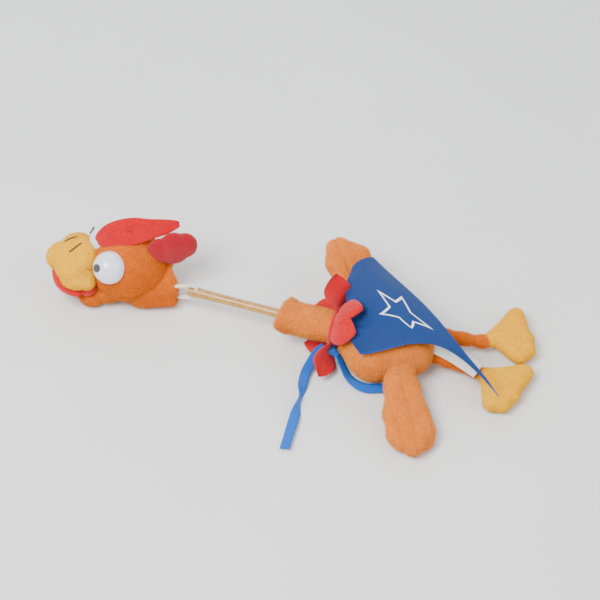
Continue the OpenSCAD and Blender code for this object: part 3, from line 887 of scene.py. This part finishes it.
def make_feet():
    """Flat fleece feet with three toes each."""
    for name, ankle, turn, seed in (("foot_near", at(49, -21, 7), -40, 41), ("foot_far", at(58, -1, 8), 5, 42)):
        c, s = math.cos(math.radians(turn)), math.sin(math.radians(turn))

        def spot(x, y, z=0.0):
            return ankle + Vector((c * x - s * y, s * x + c * y, z)) * MM

        balls = [(spot(8, 0, 0.2), (6, 5.5, 4.4), (0, 0, turn)), (spot(16, 0, 0), (10, 9.5, 5), (0, 0, turn)),
                 (spot(23, 8, -0.2), (7.5, 6, 4.8), (0, 0, turn + 32)), (spot(24, -5, -0.4), (7, 6, 4.8), (0, 0, turn - 14)),
                 (spot(19, -12.5, -0.6), (6, 6.5, 4.6), (0, 0, turn - 46)), (spot(25.5, 12.5, 0), (5.5, 5.4, 4.6), (0, 0, turn + 32))]
        leg = "leg_" + name.split("_")[1]
        plush_part(name + "_fleece", balls, "yellow_cloth", "yellow_pile", [name], name,
                          voxel=0.8, lumps=0.3, per_mm2=7, length=0.8, seed=seed,
                          joins=(leg, spot(1, 0), spot(8, 0)), over=[name + "_stuffing"],
                          pinches=[(spot(20, 2.5), (-s, c, 0), 0.9, 0.6)])


# ---------------------------------------------------------------- collar, neckband, cape, label

def felt_petals(petals):
    """Felt petals round the neck: (turn from straight down, reach, lean, half width, bend over, twist)."""
    verts, faces = [], []
    across, rows, thick = 12, 18, 0.55 * MM
    for turn, reach, lean, half, bend, twist in petals:
        a = math.radians(turn)
        out = NECK_SIDE * math.sin(a) - UP * math.cos(a)
        tang = NECK_WAY.cross(out).normalized()
        place = SLEEVE_FOOT + out * 10.9 * MM
        surface = []
        for j in range(rows + 1):
            s = j / rows
            angle = math.radians(lean + bend * s)
            way = out * math.cos(angle) + NECK_WAY * math.sin(angle)
            if j:
                place = place + way * reach / rows * MM
            up = tang.cross(way)
            roll = math.radians(twist * min(1, s * 1.6))
            flat, up = tang * math.cos(roll) + up * math.sin(roll), up * math.cos(roll) - tang * math.sin(roll)
            width = max(half * math.sin(math.pi * (0.2 + 0.8 * s)) ** 0.75 if s < 1 else 0, 0.35)
            row = []
            for i in range(across + 1):
                t = 2 * i / across - 1
                cup = 1.5 * t * t * (0.4 + 0.6 * s) + 0.25 * math.sin(7 * t + turn) * s
                row.append((place + flat * t * width * MM + up * cup * MM, up))
            surface.append(row)
        base = len(verts)
        for lift in (thick, -thick):
            for row in surface:
                verts += [p + n * lift for p, n in row]
        wide, low = across + 1, (across + 1) * (rows + 1)
        for j in range(rows):
            for i in range(across):
                q = [j * wide + i, j * wide + i + 1, (j + 1) * wide + i + 1, (j + 1) * wide + i]
                faces.append(tuple(base + k for k in q))
                faces.append(tuple(base + low + k for k in reversed(q)))
        rim = list(range(across)) + [j * wide + across for j in range(rows)]
        rim += [rows * wide + i for i in range(across, 0, -1)] + [j * wide for j in range(rows, 0, -1)]
        for p, q in zip(rim, rim[1:] + rim[:1]):
            faces.append((base + q, base + p, base + low + p, base + low + q))
    return verts, faces


def make_collar():
    """Felt ring with six petals; the two that lie back over the cape go up with it."""
    verts, faces = felt_petals([
        (290, 21, 58, 9.4, 12, 0), (218, 22, 22, 10, -6, 50), (66, 20, 8, 9.6, -6, -42), (6, 21, 58, 9, 16, 0)])
    ring = [SLEEVE_FOOT + (UP * math.cos(b) + NECK_SIDE * math.sin(b)) * (11.2 + 0.3 * math.sin(6 * b)) * MM
            + NECK_WAY * 0.2 * MM for b in [math.tau * k / 72 for k in range(72)]]
    v, f = swept(ring, lambda i, t: [(1.0 * MM * x, 1.7 * MM * y) for x, y in circle_outline(1, 10)], closed=True, up=NECK_WAY)
    faces += [tuple(k + len(verts) for k in q) for q in f]
    verts += v
    verts = [Vector((p.x, p.y, max(p.z, 0.45 * MM))) for p in verts]
    collar = new_piece("collar_felt", verts, faces, "red_felt")
    back = new_piece("collar_back_felt", *felt_petals([(184, 20, -30, 9.2, -38, 0), (142, 20, -30, 9.4, -42, 0)]), "red_felt")
    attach(collar, "torso")
    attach(back, "cape")
    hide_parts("collar")
    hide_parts("collar_back_petals")


CAPE_FRONT = [at(-19, -15, 29), at(-24, 4, 31.4), at(-21, 14, 32.4), at(-18, 32, 34), at(-11, 48, 34)]
CAPE_HEM = [at(56, -50, 14.5), at(49, -36, 24), at(36, -16, 33), at(20, 16, 37), at(3, 54, 34)]
CAPE_SWELL = 6
CAPE_TUCK = at(3, 17, 9)


def span(p, t):
    i = min(3, int(t * 4))
    f = t * 4 - i
    a, b, c, d = p[max(i - 1, 0)], p[i], p[i + 1], p[min(i + 2, 4)]
    return b + 0.5 * f * (c - a + f * (2 * a - 5 * b + 4 * c - d + f * (3 * (b - c) + d - a)))


def cape_place(u, v):
    """The cape's cloth: from its near edge to its far edge in u, and from the neck to the hem in v."""
    p = span(CAPE_FRONT, u).lerp(span(CAPE_HEM, u), v)
    p = p + UP * CAPE_SWELL * math.sin(math.pi * v) * math.sin(math.radians(27 + 126 * u)) * MM
    p = p + CAPE_TUCK * math.sin(math.pi * v ** 1.3) * (1 - u) ** 3
    fold = 1.6 * math.sin(math.tau * (1.6 * u + 0.25)) * v ** 1.3
    gather = 0.7 * math.sin(math.tau * 5 * u + 0.6) * math.exp(-v * 5)
    dent = -3.4 * math.exp(-((u - 0.42) / 0.12) ** 2 - ((v - 0.13) / 0.1) ** 2)
    curl = 1.1 * math.sin(math.tau * 0.9 * v + 1.0) * math.exp(-u * 9)
    ripple = 0.35 * noise.noise(Vector((u * 5, v * 4, 1.3)))
    return p + UP * (fold + gather + dent + curl + ripple) * MM


def make_cape():
    # the back faces get the painted-shade copy of the cape blue
    cape = sheet_piece("cape_cloth", cape_place, 72, 56, 0.5 * MM, "cape_cloth", "cape_lining")
    rim = []
    for u0, v0, u1, v1 in ((0.02, 0.02, 0.02, 0.98), (0.02, 0.98, 0.98, 0.98), (0.98, 0.98, 0.98, 0.02)):
        rim += [cape_place(u0 + (u1 - u0) * k / 40, v0 + (v1 - v0) * k / 40) + UP * 0.3 * MM for k in range(41)]
    hem = stitch_line("cape_hem_stitches", rim, "ribbon", 2.4, 1.7, 0.13)

    def lifted(u, v, lift=0.42):
        e = 0.004
        n = (cape_place(u + e, v) - cape_place(u - e, v)).cross(cape_place(u, v + e) - cape_place(u, v - e)).normalized()
        return cape_place(u, v) + (n if n.z > 0 else -n) * lift * MM

    # emblem: a plain outlined star printed on the cloth
    centre, size, points = (0.54, 0.54), (0.2, 0.25), 5
    outline = []
    for k in range(points * 2):
        for step in range(10):
            def corner(n):
                a = math.tau * (n / (points * 2)) + 0.7
                r = 1.0 if n % 2 == 0 else 0.46
                return Vector((math.cos(a) * r, math.sin(a) * r))
            outline.append(corner(k).lerp(corner(k + 1), step / 10))
    verts, faces = [], []
    count = len(outline)
    for share in (1.0, 0.82):
        for lift in (0.46, 0.30):
            verts += [lifted(centre[0] + p.x * size[0] * share, centre[1] + p.y * size[1] * share, lift) for p in outline]
    for k in range(count):
        m = (k + 1) % count
        a, b, c, d = 0, count, 2 * count, 3 * count
        faces += [(a + k, a + m, c + m, c + k), (b + m, b + k, d + k, d + m),
                  (a + m, a + k, b + k, b + m), (c + k, c + m, d + m, d + k)]
    emblem = new_piece("cape_star_print", verts, faces, "white_print")
    for piece in (cape, hem, emblem):
        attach(piece, "cape")
    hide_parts("cape")
    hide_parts("cape_emblem")


def make_neckband():
    """Navy tape round the neck, under the collar, with a small knot where the ribbons start."""
    ring = [SLEEVE_FOOT - NECK_WAY * 3.2 * MM + (UP * math.cos(b) + NECK_SIDE * math.sin(b)) * (12.3 + 0.25 * math.sin(9 * b)) * MM
            for b in [math.tau * k / 80 for k in range(80)]]
    verts, faces = swept(ring, lambda i, t: [(0.55 * MM * x, 1.5 * MM * y) for x, y in circle_outline(1, 10)], closed=True, up=NECK_WAY)
    band = new_piece("neckband_tape", verts, faces, "navy_band")
    knot = stuffed_form("tie_knot", [(at(-31, 3.8, 12.6), (3, 2.4, 2.6), (0, 0, 20)), (at(-28.6, 3.8, 10.6), (2.6, 2.4, 2.4), (0, 30, 0)),
                                     (at(-30, 2.6, 11.2), (1.9, 2.6, 1.7), (20, 0, 40))], "ribbon", 0.5, 3, 0.2)
    for piece in (band, knot):
        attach(piece, "torso")
    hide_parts("cape_neckband")


def make_label():
    """Folded satin care label, sewn in by its end."""
    low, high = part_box("care_label")
    start, end = at(27.5, -6, 17.5), at(49, -27, 15.4)
    run = end - start
    across = run.cross(UP).normalized()

    def surface(u, v):
        p = start + run * v + across * (u - 0.5) * 11 * MM
        return p + UP * (1.3 * math.sin(math.pi * v * 1.2) + 0.5 * math.sin(4 * u + 2 * v)) * MM

    label = sheet_piece("care_label_tape", surface, 14, 30, 0.25 * MM, "label")
    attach(label, "torso")
    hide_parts("care_label")
    line_length([surface(0.5, k / 20) for k in range(21)])


# ---------------------------------------------------------------- head, pocket, beak, mouth, comb and eyes

HEAD_R = 22


def on_head(x, y, z):
    """A place from the middle of the head."""
    return HEAD + Vector((x, y, z)) * MM


def make_head():
    balls = [(on_head(0, 0, 0), (22, 21.6, 21.8), (0, 0, 0)), (on_head(6, -1, -3), (17.5, 19, 17.5), (0, 0, 0)),
             (on_head(-14, 2, -12.5), (13, 17, 9), (0, 0, 0)), (on_head(-24, -6, -15.6), (8, 8, 5.8), (0, 0, 35)),
             (on_head(-30, 3, -15.8), (7, 8, 5.6), (0, 0, 0)), (on_head(-25, 12, -15.6), (8, 8, 5.8), (0, 0, -35))]
    form = plush_part("head_plush", balls, "orange_cloth", "orange_pile", ["head_skin", "chin"], "head",
                      voxel=1.1, passes=7, lumps=0.5, per_mm2=5.5, length=1.5, seed=51,
                      pinches=[(on_head(0, 3, 0), (0.05, 1, 0), 0.8, 0.45), (on_head(-8, 0, -8.5), (0, 0.1, 1), 1.2, 0.8)])
    return form


def make_pocket():
    """The pocket a fingertip goes in: open at the back, with a soft rolled and folded rim."""
    low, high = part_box("finger_pocket")
    mouth = high[0]
    cy, cz = (low[1] + high[1]) / 2, (low[2] + high[2]) / 2
    half_w, half_h = (high[1] - low[1]) / 2 - 0.2 * MM, (high[2] - low[2]) / 2 - 0.2 * MM
    sides = 72
    # outside from deep in the head to the rim, then back in along the lining
    profile = [(-0.026, 0.86, 0.0), (-0.016, 0.95, 0.1), (-0.008, 1.0, 0.35), (-0.002, 1.02, 0.7), (0.002, 1.05, 1.0),
               (0.0038, 1.03, 1.0), (0.0042, 0.95, 1.0), (0.0034, 0.88, 0.9), (0.0, 0.84, 0.7), (-0.006, 0.83, 0.4),
               (-0.014, 0.82, 0.2), (-0.022, 0.8, 0.1), (-0.027, 0.74, 0.0)]
    rings = []
    for back, share, loose in profile:
        ring = []
        for k in range(sides):
            a = math.tau * k / sides
            c, s = math.cos(a), math.sin(a)
            square = (abs(c) ** 3.2 + abs(s) ** 3.2) ** (-1 / 3.2)
            fold = loose * (0.045 * math.sin(4 * a + 0.7) + 0.035 * math.sin(7 * a + 2))
            r = share * square * (1 + fold)
            droop = loose * 0.0016 * math.sin(3 * a + 0.5)
            z = cz + s * half_h * r
            ring.append(Vector((mouth + back + droop - 0.0006, cy + c * half_w * r, max(z, 0.5 * MM))))
        rings.append(ring)
    verts = [p for ring in rings for p in ring]
    faces = [(i * sides + k, i * sides + (k + 1) % sides, (i + 1) * sides + (k + 1) % sides, (i + 1) * sides + k)
             for i in range(len(rings) - 1) for k in range(sides)]
    faces += [tuple(range(sides)), tuple(range((len(rings) - 1) * sides, len(rings) * sides))]
    pocket = new_piece("finger_pocket_plush", verts, faces, "orange_cloth")
    smooth = pocket.modifiers.new("smooth", "SUBSURF")
    smooth.levels = 1
    settle(pocket)
    pile = grow_pile(pocket, "orange_pile", 5, 1.3, seed=52)
    for piece in (pocket, pile):
        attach(piece, "head")
    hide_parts("finger_pocket", "pocket_rim")


def make_beak():
    """The stuffed fleece beak, turned a little to the far side, with a dark stitch for each nostril."""
    balls = [(on_head(-31, 6, 4.6), (13, 17.5, 9.4), (0, 8, -15)), (on_head(-38.5, 11, 3), (9.5, 10.5, 6.6), (0, 8, -20)),
             (on_head(-30.5, -3, 1), (11, 11.5, 7), (0, 0, -20)), (on_head(-29, 16, 4.5), (10, 9, 7.4), (0, 0, 10)),
             (on_head(-25, 6, 9), (8.5, 13, 6.4), (0, 0, 0))]
    beak = plush_part("beak_fleece", balls, "yellow_cloth", "yellow_pile", ["beak"], "head", voxel=0.9,
                      passes=7, lumps=0.3, per_mm2=7, length=0.8, seed=61, over=["beak_stuffing"],
                      pinches=[(on_head(0, 0, -4), (0.06, 0, 1), 0.8, 0.4)])
    verts, faces = [], []
    for start, end in ((on_head(-34, 3.5, 0), on_head(-26, 8.5, 0)), (on_head(-36, 14, 0), on_head(-28, 17, 0))):
        line = []
        for k in range(17):
            over = start.lerp(end, k / 16) + UP * 40 * MM
            found, spot, _, _ = beak.ray_cast(over, -UP)
            line.append((spot if found else over) + UP * 0.75 * math.sin(math.pi * (0.12 + 0.76 * k / 16)) * MM)
        v, f = swept(line, lambda i, t: circle_outline(0.42 * MM, 8), up=UP)
        faces += [tuple(k + len(verts) for k in q) for q in f]
        verts += v
    nostrils = new_piece("nostril_threads", verts, faces, "dark_thread")
    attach(nostrils, "head")
    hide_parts("nostril_stitches")


def make_mouth():
    """The red mouth: a stuffed crescent bent round under the beak."""
    balls = []
    for k in range(17):
        a = math.radians(180 - 62 + 124 * k / 16)
        thick = 3.6 * math.sin(math.pi * (0.14 + 0.72 * k / 16)) + 0.5
        spot = on_head(-24 + 18.5 * math.cos(a), 5 + 18 * math.sin(a), -5.8)
        balls.append((spot, (4, 3.6, thick), (0, 0, math.degrees(a))))
    mouth = stuffed_form("mouth_felt", balls, "red_felt", 0.7, 5, 0.2, over=["mouth_lining"])
    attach(mouth, "head")
    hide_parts("mouth_lining")


def make_comb():
    """A long felt leaf along the top of the head, and a rounder lobe behind it, in a darker red that is painted shade
    from the leaf above it.
    """
    line = curve_points([on_head(-16, 5, 18.6), on_head(-12, 4.4, 21.8), on_head(-6, 3.4, 24.6), on_head(3, 2.6, 26.4),
                         on_head(13, 2.2, 26.8), on_head(23, 2.6, 26.6), on_head(33, 4.4, 25.6)], 8)

    def outline(i, t):
        wide = 8.0 * math.sin(math.pi * min(1, 0.07 + 0.89 * t)) ** 0.9 * (1 - 0.12 * math.exp(-((t - 0.72) / 0.1) ** 2)) + 0.3
        thick = 1.0 + 1.3 * math.sin(math.pi * min(1, 0.06 + 0.9 * t))
        dimple = 0.75 * math.exp(-((t - 0.56) / 0.035) ** 2)
        ring = []
        for k in range(28):
            a = math.tau * k / 28
            middle_dent = dimple * math.exp(-(math.cos(a) / 0.5) ** 2)
            ring.append((wide * math.cos(a) * MM, (thick * (1 - middle_dent) * math.sin(a) + 1.3 * math.cos(a) ** 2) * MM))
        return ring

    verts, faces = swept(line, outline, up=Vector((0, -0.62, 0.78)))
    front = new_piece("comb_leaf_felt", verts, faces, "red_felt")
    lobe = [(on_head(20, -4.5, 14), (8.5, 5.5, 9.5), (0, 20, 0)), (on_head(28, -5, 15), (10.5, 5.8, 12.4), (0, 0, 0)),
            (on_head(35, -4.6, 16), (7.4, 5.2, 9.6), (0, 0, 0))]
    # the rear lobe's darker red is painted shade from the leaf above, not a darker felt
    rear = stuffed_form("comb_lobe_felt", lobe, "dark_felt", 0.7, 6, 0.35)
    for piece, node in ((front, "comb_front"), (rear, "comb_rear")):
        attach(piece, "head")
        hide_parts(node)


# ---------------------------------------------------------------- the pieces kept from the solid design

KEPT = {
    "comb_stitches": "red_thread", "eye_near": "eye_white", "eye_far": "eye_white",
    "pupil_near": "eye_black", "pupil_far": "eye_black", "eye_washers": "white_plastic", "head_bead": "white_plastic",
    "tube_anchor": "white_plastic", "sound_case": "white_plastic", "sound_lid": "white_plastic", "circuit_board": "board",
    "speaker": "dark_metal", "battery_cells": "bright_metal", "shake_switch": "bright_metal", "torso_stuffing": "fibre",
    "head_stuffing": "fibre", "beak_stuffing": "fibre", "wing_near_stuffing": "fibre", "wing_far_stuffing": "fibre",
    "foot_near_stuffing": "fibre", "foot_far_stuffing": "fibre",
}


def finish_kept():
    for node, finish in KEPT.items():
        for piece in [o for o in bpy.data.objects if o.type == "MESH" and o.name == node]:
            piece.data.materials.clear()
            piece.data.materials.append(FINISH[finish])
            if node.startswith(("eye_", "pupil_")):
                piece.data.shade_smooth()


set_camera()
set_stage()
make_ties()
make_neckband()
make_collar()
make_torso()
make_sleeve()
make_tube()
make_cord()
make_wings()
make_legs()
make_feet()
make_cape()
make_label()
make_head()
make_pocket()
make_beak()
make_mouth()
make_comb()
finish_kept()
